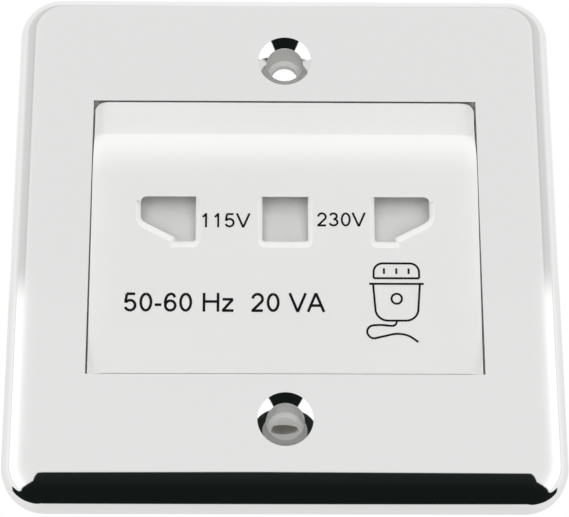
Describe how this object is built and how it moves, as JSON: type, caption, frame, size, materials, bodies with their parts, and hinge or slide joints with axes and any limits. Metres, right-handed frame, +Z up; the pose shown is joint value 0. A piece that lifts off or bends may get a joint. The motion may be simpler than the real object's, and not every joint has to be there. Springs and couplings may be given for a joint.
{
  "type": "shaver socket",
  "caption": "Square chromed wall plate with a white wedge-shaped socket face, shuttered apertures, two fixing holes and an isolating transformer in a rear housing.",
  "frame": {"origin": "on the wall plane, midway between the two fixing holes", "axes": "+X to the right, +Z up the wall, -Y out of the wall towards the room"},
  "size_m": [0.086, 0.0461, 0.086],
  "materials": {
    "chrome": "polished chrome plating",
    "white_face": "white urea moulding, light gloss",
    "white_liner": "white moulding, satin",
    "white_housing": "white moulding, satin",
    "carrier": "pale grey moulding",
    "bobbin": "black moulding",
    "brass": "bright brass",
    "zinc": "zinc-plated steel",
    "spring_steel": "bright spring wire",
    "core": "silicon steel laminations",
    "copper": "enamelled copper wire",
    "cutout": "black moulded case",
    "lead_brown": "brown insulation",
    "lead_blue": "blue insulation",
    "lead_white": "white insulation",
    "print": "black pad-printed ink on the face"
  },
  "bodies": {
    "unit": {"front_plate": "chrome", "plate_frame": "white_liner", "plate_nuts": "zinc", "socket_face": "white_face", "shutter_spring": "spring_steel", "contact_carrier": "carrier", "contact_115v": "brass", "contact_common": "brass", "contact_230v": "brass", "carrier_screws": "zinc", "rear_housing": "white_housing", "housing_screws": "zinc", "core_e_stack": "core", "core_i_stack": "core", "core_frame": "zinc", "coil_bobbin": "bobbin", "primary_winding": "copper", "secondary_winding": "copper", "thermal_cutout": "cutout", "terminal_neutral": "brass", "terminal_live": "brass", "terminal_earth": "brass", "terminal_screws": "brass", "earth_strap": "brass", "lead_common": "lead_white", "lead_115v": "lead_white", "lead_230v": "lead_white", "lead_neutral": "lead_blue", "lead_live": "lead_brown", "lead_primary": "lead_brown"},
    "shutter": {"shutter": "white_face"}
  },
  "joints": [
    {"name": "shutter_slide", "type": "slide", "parent": "unit", "child": "shutter", "axis": [0, 0, -1], "range_m": [0, 0.01], "stiffness_N_per_m": 60, "springref_m": -0.008, "deforming": ["shutter_spring"]}
  ]
}
